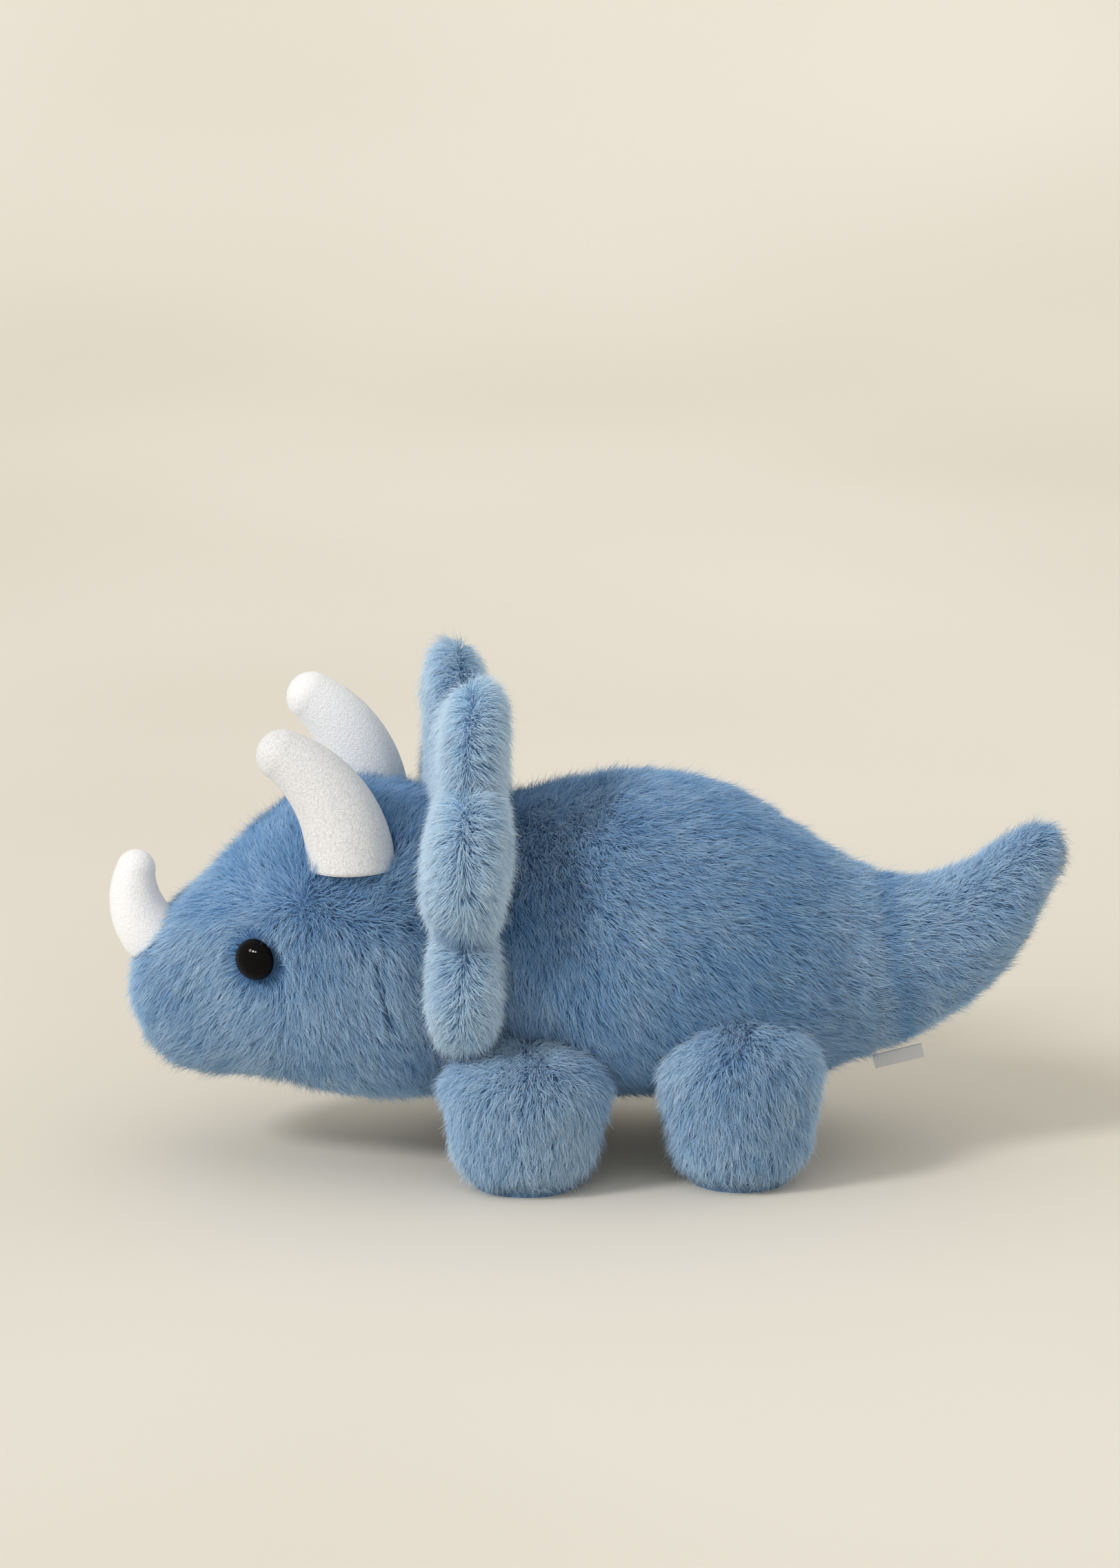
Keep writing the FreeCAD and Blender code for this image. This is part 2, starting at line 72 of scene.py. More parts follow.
# distance from the middle plane, height, radius and half thickness of each lobe
LOBES = [(31, 153, 28, 12.5), (48, 118, 31, 16), (42, 75, 28.5, 14.8)]
FOLD = ((-55, -65, 83), (-51.5, -68.5, 75))  # a small crease in the near lower lobe
CREASES = [FOLD, ((-52, -68, 95), (-37, -69, 94))]  # the second lies between the near lobes
LOBE_LEAN = 0.08  # how far the frill's near side leans back of its far side, a millimetre of height
FRILL_X, FRILL_Z, FRILL_DISC, FRILL_FLAT = -44.0, 107.5, 60.0, 14.0
# base x, y, z, heading at base and tip in degrees forward of up, length, base and tip radius
HORNS = {
    "horn_left": (-84, -33, 112.5, 0, 60, 49.5, 15, 8.5),
    "horn_right": (-80, 33, 114.5, -8, 55, 51, 14.5, 8.2),
    "nose_horn": (-154.3, 0, 79, 45, -14, 27, 10.5, 6.2),
}
EYE = np.array((-117.5, 42.4, 82.0))
EYE_CLEAR, EYE_PARTED = 7.6, 15.0  # bare round the eye, and how far its pile is combed away from it


# ---- numbers ---------------------------------------------------------------------------------


def unit(v):
    return v / np.maximum(np.linalg.norm(v, axis=-1, keepdims=True), 1e-12)


def value_noise(points, scale, seed):
    """Smooth noise from -1 to 1 at each point, with features about scale long."""
    table = np.random.default_rng(seed).uniform(-1, 1, (24, 24, 24))
    q = points / scale + 500
    cell = np.floor(q).astype(int)
    t = q - cell
    t = t * t * (3 - 2 * t)
    total = np.zeros(len(points))
    for corner in range(8):
        bits = np.array([(corner >> k) & 1 for k in range(3)])
        i = (cell + bits) % 24
        total += np.prod(np.where(bits, t, 1 - t), axis=1) * table[i[:, 0], i[:, 1], i[:, 2]]
    return total


def vector_noise(points, scale, seed):
    return np.stack([value_noise(points, scale, seed + k) for k in range(3)], 1)


# ---- surfaces: vertices in metres, triangles, smooth outward normals -------------------------


def surface(verts, tris):
    a, b, c = (verts[tris[:, k]] for k in range(3))
    if np.einsum("ij,ij->i", a, np.cross(b, c)).sum() < 0:
        tris = tris[:, ::-1]
    face = np.cross(verts[tris[:, 1]] - verts[tris[:, 0]], verts[tris[:, 2]] - verts[tris[:, 0]])
    normals = np.zeros_like(verts)
    for k in range(3):
        np.add.at(normals, tris[:, k], face)
    return verts, tris, unit(normals)


def tube(rings):
    """A closed skin over rings of points, each end drawn to a point."""
    count, around, _ = rings.shape
    verts = np.concatenate([rings.reshape(-1, 3), rings[0].mean(0)[None], rings[-1].mean(0)[None]])
    i, j = (g.ravel() for g in np.meshgrid(np.arange(count - 1), np.arange(around), indexing="ij"))
    a, b = i * around + j, i * around + (j + 1) % around
    ring, turn = np.arange(around), (np.arange(around) + 1) % around
    last = (count - 1) * around
    tris = np.concatenate([
        np.stack([a, b, b + around], 1), np.stack([a, b + around, a + around], 1),
        np.stack([np.full(around, count * around), turn, ring], 1),
        np.stack([np.full(around, count * around + 1), last + ring, last + turn], 1),
    ])
    return surface(verts / 1000, tris)


def smooth_rows(rows, steps=7):
    """Rows of numbers with smooth curves run between them."""
    rows = np.array(rows, float)
    slope = np.gradient(rows, axis=0)
    fine = np.linspace(0, len(rows) - 1, steps * (len(rows) - 1) + 1)
    k = np.minimum(fine.astype(int), len(rows) - 2)
    s = (fine - k)[:, None]
    return ((2 * s**3 - 3 * s**2 + 1) * rows[k] + (s**3 - 2 * s**2 + s) * slope[k]
            + (3 * s**2 - 2 * s**3) * rows[k + 1] + (s**3 - s**2) * slope[k + 1])


def soft_body(sections, front, back, box=2.0, around=96):
    """A soft form through oval sections, rounded at its ends by the depths front and back.

    box above 2 makes the ovals squarer.
    """
    rows = smooth_rows(sections)
    turns = np.radians(np.linspace(0, 90, 10)[1:-1])

    def dome(row, depth, sign):
        x, z, tall, wide = row
        return np.stack([x + sign * depth * np.sin(turns), np.full_like(turns, z),
                         tall * np.cos(turns), wide * np.cos(turns)], 1)

    if front:
        rows = np.concatenate([dome(rows[0], front, -1)[::-1], rows])
    if back:
        rows = np.concatenate([rows, dome(rows[-1], back, 1)])
    a = np.linspace(0, 2 * np.pi, around, endpoint=False)
    cos, sin = (np.sign(v) * abs(v) ** (2 / box) for v in (np.cos(a), np.sin(a)))
    x, z, tall, wide = (rows[:, k, None] for k in range(4))
    return tube(np.stack([x + 0 * a, wide * cos, z + tall * sin], 2))


def leg_body(pair, side, around=72):
    x, y, hip, size, rise = LEGS[pair]
    turns = np.radians(np.linspace(0, 90, 12))
    foot = size - 3.2
    profile = [(foot - 17 + 17 * math.sin(t) ** 0.9, 19 - 19 * math.cos(t)) for t in turns]
    profile += [(size - 3.2 * (1 - u), 19 + (hip - 19) * u) for u in (0.33, 0.66)]
    profile += [(size * math.cos(t), hip + rise * math.sin(t)) for t in turns[:-1]]
    r, z = (np.array(v)[:, None] for v in zip(*profile))
    a = np.linspace(0, 2 * np.pi, around, endpoint=False)
    y *= SIDES[side]
    return tube(np.stack([x + r * np.cos(a), y + r * np.sin(a), z + 0 * a], 2))


def frill_body(pile, around=240, steps=26):
    """The frill less its pile: a scalloped cushion ringing the neck, seamed round its edge."""
    a = np.linspace(0, 2 * np.pi, around, endpoint=False)
    lobes = [(s * y, z - FRILL_Z, r - pile, half - pile) for y, z, r, half in LOBES for s in (-1, 1)]
    reach = np.full(around, FRILL_DISC - pile)
    for y, z, r, _ in lobes:
        along = y * np.sin(a) + z * np.cos(a)
        off = y * np.cos(a) - z * np.sin(a)
        hit = along + np.sqrt(np.maximum(r * r - off * off, 0))
        reach = np.maximum(reach, np.where((abs(off) < r) & (along > 0), hit, 0))
    share = np.sin(np.linspace(0, np.pi / 2, steps))[1:]
    across, up = (share[:, None] * reach * turn for turn in (np.sin(a), np.cos(a)))
    square = np.clip(1 - (np.hypot(across, up) / (FRILL_DISC - pile)) ** 2, 0, None)
    thick = (FRILL_FLAT - pile) * square ** 0.32
    thick = thick ** 5
    for y, z, r, half in lobes:
        square = np.clip(1 - ((across - y) ** 2 + (up - z) ** 2) / r**2, 0, None)
        thick += (half * square ** 0.32) ** 5
    thick = thick ** 0.2
    thick[-1] = 0
    for _ in range(2):
        thick = 0.25 * np.roll(thick, 1, 1) + 0.5 * thick + 0.25 * np.roll(thick, -1, 1)
    middle = FRILL_X - LOBE_LEAN * np.clip(up, 0, None) * np.tanh(across / 20)
    front = np.stack([middle - thick, across, FRILL_Z + up], 2)
    back = np.stack([middle + thick, across, FRILL_Z + up], 2)
    return tube(np.concatenate([front, back[:-1][::-1]]))


def horn_frame(name, t):
    """Middle, radius and heading of a horn at the share t of its length."""
    x, y, z, start, end, long, base, tip = HORNS[name]
    bend = math.radians(end - start)
    heading = math.radians(start) + bend * t
    arc = long / bend
    middle = np.stack([x + arc * (np.cos(heading) - math.cos(math.radians(start))),
                       np.full_like(t, y),
                       z + arc * (np.sin(heading) - math.sin(math.radians(start)))], 1)
    return middle, base + (tip - base) * np.clip(t, 0, 1) ** 1.5, heading


def horn_body(name, around=72):
    t = np.linspace(0.02, 1, 34)
    middle, radius, heading = horn_frame(name, t)
    radius = radius + 0.8
    turns = np.radians(np.linspace(0, 90, 12)[1:-1])
    up = np.stack([-np.sin(heading), 0 * heading, np.cos(heading)], 1)
    middle = np.concatenate([middle, middle[-1] + radius[-1] * np.sin(turns)[:, None] * up[-1]])
    radius = np.concatenate([radius, radius[-1] * np.cos(turns)])
    up = np.concatenate([up, np.repeat(up[-1:], len(turns), 0)])
    side = np.array([0.0, 1.0, 0.0])
    a = np.linspace(0, 2 * np.pi, around, endpoint=False)[None, :, None]
    across = np.cross(side, up)[:, None]
    return tube(middle[:, None] + radius[:, None, None] * (np.cos(a) * across + np.sin(a) * side))


def line_distance(mm, start, end):
    start, end = np.array(start, float), np.array(end, float)
    along = np.clip((mm - start) @ (end - start) / ((end - start) @ (end - start)), 0, 1)
    return np.linalg.norm(mm - start - along[:, None] * (end - start), axis=1)


def folded(skin, start, end, wide, depth):
    """A skin pressed in along a short line given in millimetres."""
    verts, tris, normals = skin
    press = depth / 1000 * np.exp(-((line_distance(verts * 1000, start, end) / wide) ** 2))
    return surface(verts - normals * press[:, None], tris)


def drawn_in(skin, depth):
    """The same skin moved inwards along its normals."""
    verts, tris, normals = skin
    return surface(verts - depth * normals, tris)


# ---- materials -------------------------------------------------------------------------------


class Look:
    """A procedural material: one Principled shader with nodes added to it."""

    def __init__(self, name, **plain):
        self.material = bpy.data.materials.new(name)
        self.material.use_nodes = True
        self.nodes = self.material.node_tree.nodes
        self.shader = self.nodes["Principled BSDF"]
        for socket, value in plain.items():
            self.shader.inputs[socket.replace("_", " ")].default_value = value

    def link(self, a, b):
        self.material.node_tree.links.new(a, b)

    def add(self, kind, **values):
        node = self.nodes.new(kind)
        for socket, value in values.items():
            node.inputs[socket].default_value = value
        return node

    def place(self):
        return self.add("ShaderNodeTexCoord").outputs["Object"]

    def noise(self, scale, detail=4.0, rough=0.5):
        node = self.add("ShaderNodeTexNoise", Scale=scale, Detail=detail, Roughness=rough)
        self.link(self.place(), node.inputs["Vector"])
        return node.outputs["Fac"]

    def ramp(self, factor, *stops):
        node = self.nodes.new("ShaderNodeValToRGB")
        ramp = node.color_ramp
        while len(ramp.elements) < len(stops):
            ramp.elements.new(0.5)
        for element, (at, colour) in zip(ramp.elements, stops):
            element.position = at
            element.color = (*colour, 1)
        self.link(factor, node.inputs["Fac"])
        return node.outputs["Color"]

    def bump(self, height, strength, distance):
        node = self.add("ShaderNodeBump", Strength=strength, Distance=distance)
        self.link(height, node.inputs["Height"])
        self.link(node.outputs["Normal"], self.shader.inputs["Normal"])

    def colour(self, output):
        self.link(output, self.shader.inputs["Base Color"])
        return self


def linear(*rgb):
    """A colour given in 0-255 display values, as scene values."""
    return tuple((c / 255 / 12.92) if c <= 10 else ((c / 255 + 0.055) / 1.055) ** 2.4 for c in rgb)


def fur_look():
    """Strand colour from the strand's own tone (across) and the distance from its root (up), both ramps
    running darker towards the root as painted shade deep in the pile.
    """
    look = Look("blue_fur_pile", Roughness=0.62, Sheen_Weight=0.12, Sheen_Roughness=0.5)
    look.shader.inputs["Specular IOR Level"].default_value = 0.25
    uv = look.nodes.new("ShaderNodeUVMap")
    uv.uv_map = "OFBake"
    split = look.nodes.new("ShaderNodeSeparateXYZ")
    look.link(uv.outputs["UV"], split.inputs["Vector"])
    # Each ramp is darkest at the root: painted shade deep in the pile.
    dark = look.ramp(split.outputs["Y"], (0.0, linear(56, 102, 156)), (0.45, linear(86, 140, 195)),
                     (1.0, linear(126, 176, 222)))
    pale = look.ramp(split.outputs["Y"], (0.0, linear(108, 150, 192)), (0.45, linear(168, 208, 239)),
                     (1.0, linear(226, 242, 253)))
    mix = look.nodes.new("ShaderNodeMix")
    mix.data_type = "RGBA"
    look.link(split.outputs["X"], mix.inputs[0])
    look.link(dark, mix.inputs[6])
    look.link(pale, mix.inputs[7])
    return look.colour(mix.outputs[2]).material


def backing_look():
    look = Look("blue_fur_backing", Roughness=0.9)
    look.colour(look.ramp(look.noise(900, 2), (0.3, linear(58, 92, 132)), (0.7, linear(86, 126, 168))))
    look.bump(look.noise(1500, 2), 0.4, 0.001)
    return look.material


def velour_look(name, low, high, sheen):
    look = Look(name, Roughness=0.92, Sheen_Weight=sheen, Sheen_Roughness=0.6)
    look.shader.inputs["Specular IOR Level"].default_value = 0.2
    fibre = look.noise(1400, 6, 0.65)
    loops = look.add("ShaderNodeTexVoronoi", Scale=1150.0, Randomness=0.75)
    look.link(look.place(), loops.inputs["Vector"])
    pile = look.nodes.new("ShaderNodeMath")
    pile.operation = "MULTIPLY_ADD"
    pile.inputs[1].default_value = -0.55
    look.link(loops.outputs["Distance"], pile.inputs[0])
    look.link(fibre, pile.inputs[2])
    look.colour(look.ramp(pile.outputs["Value"], (0.0, linear(low, low, low + 2)),
                          (0.5, linear(high, high, high))))
    look.bump(pile.outputs["Value"], 0.5, 0.0008)
    return look.material


def eye_look():
    look = Look("eye_plastic", Roughness=0.05)
    look.shader.inputs["Specular IOR Level"].default_value = 0.07
    look.colour(look.ramp(look.noise(60, 2), (0.3, (0.0015, 0.0015, 0.002)),
                          (0.7, (0.004, 0.0032, 0.003))))
    return look.material


def washer_look():
    look = Look("washer_plastic", Roughness=0.45)
    look.colour(look.ramp(look.noise(300, 3), (0.3, linear(216, 216, 210)),
                          (0.7, linear(236, 236, 230))))
    return look.material


def satin_look():
    look = Look("satin_label", Roughness=0.35, Sheen_Weight=0.3)
    wave = look.add("ShaderNodeTexWave", Scale=900.0, Distortion=1.5, Detail=2.0)
    look.link(look.place(), wave.inputs["Vector"])
    look.colour(look.ramp(wave.outputs["Fac"], (0.2, linear(186, 188, 190)),
                          (0.8, linear(226, 227, 228))))
    look.bump(wave.outputs["Fac"], 0.3, 0.0002)
    return look.material


def thread_look():
    look = Look("blue_thread", Roughness=0.7)
    look.colour(look.ramp(look.noise(4000, 2), (0.3, linear(60, 92, 130)), (0.7, linear(96, 134, 172))))
    return look.material


def sole_look():
    look = Look("sole_fabric", Roughness=0.95, Sheen_Weight=0.2)
    fibre = look.noise(1100, 5, 0.7)
    look.colour(look.ramp(fibre, (0.3, linear(66, 102, 142)), (0.7, linear(110, 150, 188))))
    look.bump(fibre, 0.8, 0.001)
    return look.material


def paper_look(name, low, high):
    look = Look(name, Roughness=0.85)
    look.colour(look.ramp(look.noise(1.6, 2, 0.4), (0.35, linear(*low)), (0.65, linear(*high))))
    return look.material


# ---- pieces ----------------------------------------------------------------------------------


def mesh_piece(name, skin, material, body, replaced=()):
    verts, tris, _ = skin
    mesh = bpy.data.meshes.new(name)
    mesh.from_pydata(verts.tolist(), [], tris.tolist())
    mesh.materials.append(material)
    mesh.shade_smooth()
    obj = bpy.data.objects.new(name, mesh)
    bpy.context.scene.collection.objects.link(obj)
    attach(obj, body)
    if replaced:
        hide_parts(*replaced)
    return obj


def tree_of(skin):
    verts, tris, _ = skin
    return bvhtree.BVHTree.FromPolygons(verts.tolist(), tris.tolist())


def depth_inside(tree, points):
    """How far each point lies below the tree's surface; negative outside."""
    depth = np.empty(len(points))
    for k, p in enumerate(points.tolist()):
        hit, normal, _, _ = tree.find_nearest(p, 0.06)
        depth[k] = -0.06 if hit is None else (hit - Vector(p)).dot(normal)
    return depth


def strand_pieces(name, body, root, mid, tip, radius, normals, tones, material):
    """Each strand is a three-sided blade of two lengths; they are shared out in pieces."""
    pieces = max(1, math.ceil(len(root) / STRANDS_A_PIECE))
    for number, part in enumerate(np.array_split(np.arange(len(root)), pieces), 1):
        n = len(part)
        r, m, t, thick, out, tone = (v[part] for v in (root, mid, tip, radius, normals, tones))
        lean = unit(m - r)
        side = unit(np.cross(lean, out) + 1e-9)
        over = np.cross(side, lean)
        corners, outward = [], []
        for centre, share in ((r, 1.0), (m, 0.85)):
            for turn in (90, 210, 330):
                spoke = math.cos(math.radians(turn)) * side + math.sin(math.radians(turn)) * over
                corners.append(centre + spoke * (thick * share)[:, None])
                outward.append(unit(spoke + 0.9 * out))
        corners.append(t)
        outward.append(unit(over + 0.9 * out))
        verts = np.stack(corners, 1).reshape(-1, 3)
        vert_normals = np.stack(outward, 1).reshape(-1, 3)
        quads = np.array([(0, 3, 4, 1), (1, 4, 5, 2), (2, 5, 3, 0)])
        points = np.array([(3, 6, 4), (4, 6, 5), (5, 6, 3)])
        pattern = np.concatenate([quads.ravel(), points.ravel()])
        corner = (np.arange(n)[:, None] * 7 + pattern).ravel()
        starts = (np.arange(n)[:, None] * 21 + np.array([0, 4, 8, 12, 15, 18])).ravel()
        mesh = bpy.data.meshes.new(f"{name}_{number}")
        mesh.vertices.add(len(verts))
        mesh.vertices.foreach_set("co", verts.ravel().astype(np.float32))
        mesh.loops.add(len(corner))
        mesh.loops.foreach_set("vertex_index", corner.astype(np.int32))
        mesh.polygons.add(len(starts))
        mesh.polygons.foreach_set("loop_start", starts.astype(np.int32))
        mesh.update(calc_edges=True)
        along = np.array([0.03, 0.03, 0.03, 0.55, 0.55, 0.55, 0.97])[pattern]
        uv = np.stack([np.repeat(tone, 21), np.tile(along, n)], 1)
        layer = mesh.uv_layers.new(name="OFBake")
        layer.data.foreach_set("uv", uv.ravel().astype(np.float32))
        mesh.materials.append(material)
        mesh.shade_smooth()
        mesh.normals_split_custom_set_from_vertices(vert_normals.tolist())
        obj = bpy.data.objects.new(f"{name}_{number}", mesh)
        bpy.context.scene.collection.objects.link(obj)
        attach(obj, body)


def scatter(skin, per_mm2, seed):
    """Random points on a skin with their smooth normals."""
    verts, tris, normals = skin
    rng = np.random.default_rng(seed)
    a, b, c = (verts[tris[:, k]] for k in range(3))
    area = np.linalg.norm(np.cross(b - a, c - a), axis=1) / 2
    count = int(area.sum() * 1e6 * per_mm2)
    pick = rng.choice(len(tris), count, p=area / area.sum())
    u, v = rng.random(count), rng.random(count)
    flip = u + v > 1
    u, v = np.where(flip, 1 - u, u), np.where(flip, 1 - v, v)
    w = 1 - u - v
    points = w[:, None] * a[pick] + u[:, None] * b[pick] + v[:, None] * c[pick]
    n = [normals[tris[pick, k]] for k in range(3)]
    return points, unit(w[:, None] * n[0] + u[:, None] * n[1] + v[:, None] * n[2])


def combed(mm, out, flow, seed, rng):
    """The directions the pile lies in along the skin, tufted and a little ruffled."""
    comb = flow(mm) + 0.3 * vector_noise(mm, 24, seed + 3) + 0.3 * vector_noise(mm, 6, seed + 6)
    comb = comb - out * np.einsum("ij,ij->i", comb, out)[:, None]
    return unit(comb + 0.22 * rng.normal(size=(len(mm), 3)))


def gathered(root, ends, tight):
    """Draw strands to the nearest guide strand; ends holds points and each one's share of the pull."""
    guides = max(4, len(root) // STRANDS_A_TUFT)
    tree = kdtree.KDTree(guides)
    for k in range(guides):
        tree.insert(root[k], k)
    tree.balance()
    guide = np.array([tree.find(p)[1] for p in root.tolist()])
    drawn = [points + (points[guide] - points) * tight * share for points, share in ends]
    for points in drawn:
        points[:, 2] = np.maximum(points[:, 2], 0.0005)
    return guide, drawn


def grow(name, body, skin, flow, hidden, seed, tone, stand=0.7):
    """Cover a skin in combed, tufted pile.

    flow gives the combing direction at points in millimetres, hidden the skins that bury roots with
    the depth they bury them at, tone how pale the pile is and stand how upright it is, from 0 to 1.
    """
    root, out = scatter(skin, STRANDS_PER_MM2, seed)
    keep = np.ones(len(root), bool)
    for tree, depth in hidden:
        keep[keep] = depth_inside(tree, root[keep]) < depth
    root, out = root[keep], out[keep]
    rng = np.random.default_rng(seed + 1)
    n = len(root)
    mm = root * 1000
    length = STRAND * rng.uniform(0.72, 1.12, n) * (1 + 0.14 * value_noise(mm, 9, seed + 2))
    guard = rng.random(n) < GUARD_SHARE
    length *= np.where(guard, GUARD_LONG, 1.0)
    comb = combed(mm, out, flow, seed, rng)
    use, shade = np.ones(n, bool), np.zeros(n)
    for side in SIDES.values():
        off = mm - EYE * (1, side, 1)
        far = np.linalg.norm(off, axis=1)
        near = np.clip((EYE_PARTED - far) / 7, 0, 1)[:, None]
        comb = unit(comb * (1 - near) + unit(off) * near)
        use &= far > EYE_CLEAR
        shade += np.exp(-((np.clip(far - 8, 0, None) / 2.4) ** 2))
        short = 0.62 + 0.38 * np.clip((far - EYE_CLEAR) / 5.4, 0, 1)
        length = np.where(far < 13, length * short, length)
    for crease in CREASES:
        off = line_distance(mm, *crease)
        length *= 1 - 0.5 * np.exp(-((off / 3) ** 2))
        shade += np.exp(-((np.clip(off - 5.5, 0, None) / 2) ** 2))
    steep = stand * (1 + 0.16 * rng.normal(size=n))
    first = unit(out * steep[:, None] + comb * 0.55 + 0.16 * rng.normal(size=(n, 3)))
    second = unit(out * (steep * 0.42)[:, None] + comb + 0.2 * rng.normal(size=(n, 3)))
    half = (length * 0.00052)[:, None]
    mid = root + first * half
    tip = mid + second * half
    tight = rng.uniform(0.05, 0.42, n)[:, None]
    guide, (mid, tip) = gathered(root, ((mid, 0.35), (tip, 1.0)), tight)
    tones = tone(mm) if callable(tone) else tone
    tones = tones + 0.2 * value_noise(mm, 16, seed + 9) + 0.2 * value_noise(mm[guide], 2.2, seed + 10)
    tones = np.clip(tones + rng.uniform(-0.27, 0.27, n) + 0.14 * guard - 0.5 * shade, 0.02, 0.98)
    radius = np.where(guard, GUARD_THIN, 1.0) * rng.uniform(THIN, THICK, n)
    strand_pieces(name, body, root[use], mid[use], tip[use], radius[use], out[use], tones[use],
                  FUR)


def toward(x, y, z):
    return lambda mm: np.tile((x, y, z), (len(mm), 1)).astype(float)


def head_flow(mm):
    """Combed away from a whorl behind each eye, forwards on the muzzle and down the cheeks."""
    x, y, z = mm.T
    along = np.where(x > -102, 0.5, 0.9) * np.tanh((x + 102) / 14)
    across = 0.3 * np.tanh(y / 20) * np.tanh((98 - z) / 15)
    return np.stack([along, across, 0.9 * np.tanh((z - 99) / 12) - 0.1], 1)


def torso_flow(mm):
    """Combed down at the shoulder and back along the flank."""
    turn = np.clip((mm[:, 0] + 20) / 60, 0, 1)[:, None]
    return (1 - turn) * np.array((0.45, 0, -0.85)) + turn * np.array((0.85, 0, -0.5))


def tone_with_seam_light_and_shade(base, seam):
    """Painted light and shade at the tail's root: paler pile before the seam, where the standing pile
    is lit, and painted shade in its crease.
    """
    def tone(mm):
        off = mm[:, 0] - seam - 0.12 * (70 - mm[:, 2]) + 2 * value_noise(mm, 12, 7)
        # Painted light just before the seam, painted shade in the crease behind it.
        return base + 0.12 * np.exp(-((off + 12) / 9) ** 2) - 0.34 * np.exp(-((off - 3) / 3.4) ** 2)
    return tone


def head_tone_with_painted_shade(mm):
    """Darker towards the crown: painted shade set against the light, which reaches the crown most."""
    return 0.38 - 0.3 * np.clip((mm[:, 2] - 88) / 28, 0, 1)


def frill_flow(mm):
    """Parted along the edge seam and combed over both faces towards the neck."""
    ring = np.stack([0 * mm[:, 0], mm[:, 1], mm[:, 2] - FRILL_Z], 1)
    side = np.clip((mm[:, 0] - FRILL_X) / 3, -1, 1)[:, None] * np.array((1.0, 0, 0))
    return side * 0.65 - 0.15 * unit(ring) + (0, 0, -0.8)


def leg_flow(pair, side):
    x, y = LEGS[pair][:2]
    axis = np.array((x, y * SIDES[side], 0))

    def flow(mm):
        ring = (mm - axis) * (1, 1, 0)
        return unit(ring) * 0.45 + (0, 0, -1.0)
    return flow


# ---- the toy ---------------------------------------------------------------------------------

FUR, BACKING, EYES = fur_look(), backing_look(), eye_look()
# One white velour in two copies: darker with painted shade for the near horn, paler with painted light
# for the far horn and the nose horn.
SHADED_VELOUR = velour_look("white_velour", 214, 246, 0.35)
LIT_VELOUR = velour_look("velour_painted_light", 240, 255, 0.8)

skins = {
    "torso": drawn_in(soft_body(TORSO, 22, 20), PILE),
    "head": drawn_in(soft_body(HEAD, 0, 24, box=2.4), PILE),
    "tail": drawn_in(soft_body(TAIL, 16, 0), PILE),
    "frill": folded(frill_body(PILE * 1000), *FOLD, 4, 7),
}
for pair in LEGS:
    for side in SIDES:
        skins[f"{pair}_leg_{side}"] = drawn_in(leg_body(pair, side), PILE * 0.9)
horns = {name: horn_body(name) for name in HORNS}
trees = {name: tree_of(skin) for name, skin in {**skins, **horns}.items()}

fills = {
    "torso": ("torso_skin_left", "torso_skin_right", "belly_panel", "torso_fill"),
    "head": ("head_skin_left", "head_skin_right", "forehead_gusset", "head_fill"),
    "tail": ("tail_skin_left", "tail_skin_right", "tail_fill"),
    "frill": ("frill_front", "frill_back", "frill_fill"),
}
for name, skin in skins.items():
    body = "head" if name == "frill" else name
    replaced = fills.get(name) or (f"{name}_outer", f"{name}_inner", f"{name}_fill")
    piece = mesh_piece(f"{name}_backing", skin, BACKING, body, replaced)
for name, skin in horns.items():
    replaced = (f"{name}_left_half", f"{name}_right_half", f"{name}_fill")
    # The near horn takes the copy with painted shade, the other horns the copy with painted light.
    look = SHADED_VELOUR if name == "horn_left" else LIT_VELOUR
    piece = mesh_piece(f"{name}_velour", skin, look, name, replaced)

HORN_TREES = [(trees[name], 0.0004) for name in HORNS]
LEG_TREES = [(trees[f"{pair}_leg_{side}"], 0.006) for pair in LEGS for side in SIDES]
grow("torso_fur", "torso", skins["torso"], torso_flow, [
    (trees["head"], 0.004), (trees["frill"], 0.002), (trees["tail"], 0.006), *LEG_TREES,
], 11, tone_with_seam_light_and_shade(0.21, 103))
grow("head_fur", "head", skins["head"], head_flow, [
    (trees["torso"], 0.005), (trees["frill"], 0.002), *HORN_TREES,
], 21, head_tone_with_painted_shade)
grow("tail_fur", "tail", skins["tail"], toward(0.9, 0, -0.2), [(trees["torso"], 0.006)],
     31, tone_with_seam_light_and_shade(0.48, 103))
grow("frill_fur", "head", skins["frill"], frill_flow, [
    (trees["head"], 0.001), (trees["torso"], 0.004), *HORN_TREES,
], 41, 0.93, stand=1.0)
for index, (pair, side) in enumerate((p, s) for p in LEGS for s in SIDES):
    name = f"{pair}_leg_{side}"
    grow(f"{name}_fur", name, skins[name], leg_flow(pair, side), [(trees["torso"], 0.006)],
         51 + 10 * index, 0.55)

styles = {
    "eye_left": EYES, "eye_right": EYES, "eye_washer_left": washer_look(),
    "eye_washer_right": washer_look(), "care_label": satin_look(), "closing_stitches": thread_look(),
}
sole = sole_look()
styles.update({f"{pair}_leg_{side}_sole": sole for pair in LEGS for side in SIDES})
for name, material in styles.items():
    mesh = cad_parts[name].data
    mesh.materials.clear()
    mesh.materials.append(material)


# ---- floor, light and camera -----------------------------------------------------------------


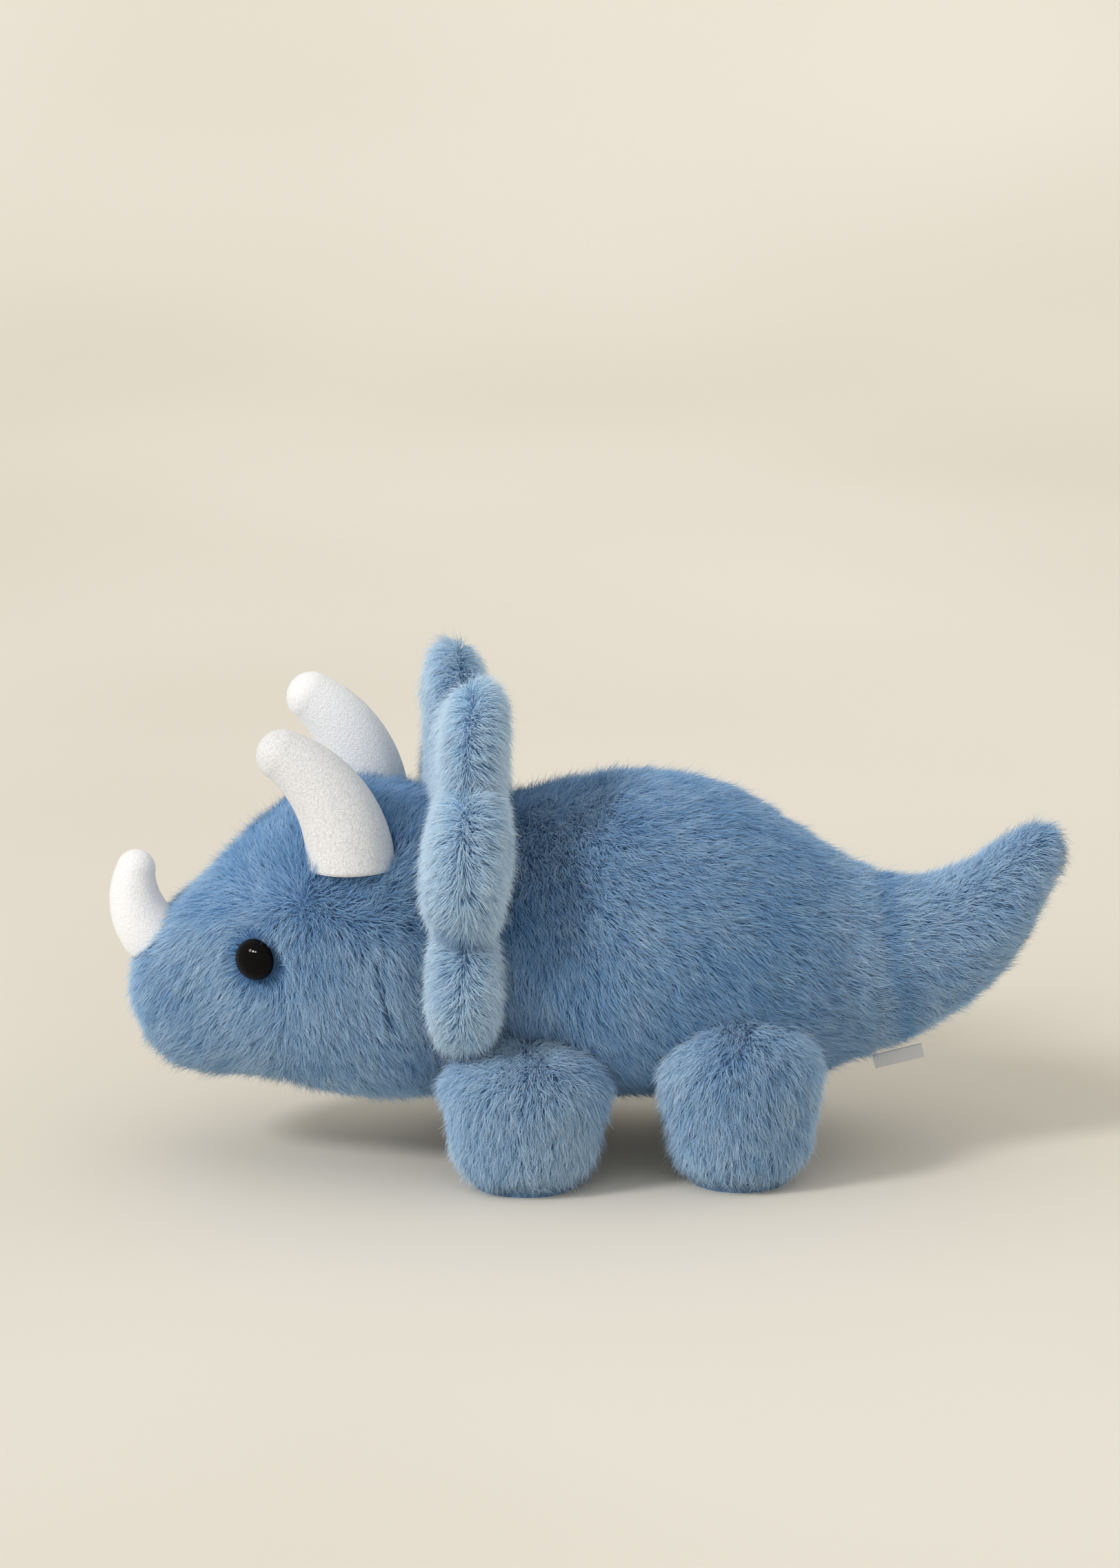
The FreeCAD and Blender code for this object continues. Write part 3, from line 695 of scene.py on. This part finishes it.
def floor():
    """A pale floor that curves up into a backdrop."""
    profile = [(-2.5, 0.0), (1.2, 0.0)]
    turns = np.radians(np.arange(6, 91, 6))
    profile += [(1.2 + 1.2 * math.sin(t), 1.2 - 1.2 * math.cos(t)) for t in turns]
    profile += [(2.4, 3.2)]
    verts = [(x, y, z) for y, z in profile for x in (-3.5, 3.5)]
    faces = [(2 * k, 2 * k + 1, 2 * k + 3, 2 * k + 2) for k in range(len(profile) - 1)]
    mesh = bpy.data.meshes.new("floor")
    mesh.from_pydata(verts, [], faces)
    mesh.materials.append(paper_look("floor_paper", (218, 212, 199), (228, 223, 212)))
    mesh.shade_smooth()
    obj = bpy.data.objects.new("floor", mesh)
    bpy.context.scene.collection.objects.link(obj)


def area_light(name, place, aim, size, power, colour):
    data = bpy.data.lights.new(name, "AREA")
    data.size = size
    data.energy = power
    data.color = colour
    obj = bpy.data.objects.new(name, data)
    obj.location = place
    obj.rotation_euler = (Vector(aim) - Vector(place)).to_track_quat("-Z", "Y").to_euler()
    obj.visible_diffuse = False
    bpy.context.scene.collection.objects.link(obj)


floor()
key = bpy.data.lights.new("key", "SUN")
key.energy = 1.42
key.angle = math.radians(13)
key.color = (1.0, 0.995, 0.99)
lamp = bpy.data.objects.new("key", key)
lamp.rotation_euler = Vector((0.68, 0.46, -0.574)).to_track_quat("-Z", "Y").to_euler()
bpy.context.scene.collection.objects.link(lamp)
area_light("window_left", (-0.95, -1.1, 1.02), (-0.05, 0, 0.08), 0.2, 21, (1.0, 0.98, 0.95))
area_light("window_right", (-0.66, -1.29, 1.06), (-0.05, 0, 0.08), 0.16, 11, (1.0, 0.98, 0.95))

world = bpy.data.worlds.new("studio")
world.use_nodes = True
world.node_tree.nodes["Background"].inputs["Color"].default_value = (1.0, 0.98, 0.95, 1)
world.node_tree.nodes["Background"].inputs["Strength"].default_value = 0.78
bpy.context.scene.world = world
bpy.context.scene.view_settings.view_transform = "Standard"

camera = bpy.data.objects.new("camera", bpy.data.cameras.new("camera"))
camera.data.sensor_fit = "VERTICAL"
camera.data.sensor_height = 24.0
DISTANCE, SHOWN, UP = 3.0, 0.556, math.radians(14)
camera.data.lens = 24.0 * DISTANCE / SHOWN
aim = Vector((-0.0105, 0, 0.1349))
camera.location = aim + DISTANCE * Vector((0, -math.cos(UP), math.sin(UP)))
camera.rotation_euler = (math.pi / 2 - UP, 0, 0)
bpy.context.scene.collection.objects.link(camera)
bpy.context.scene.camera = camera
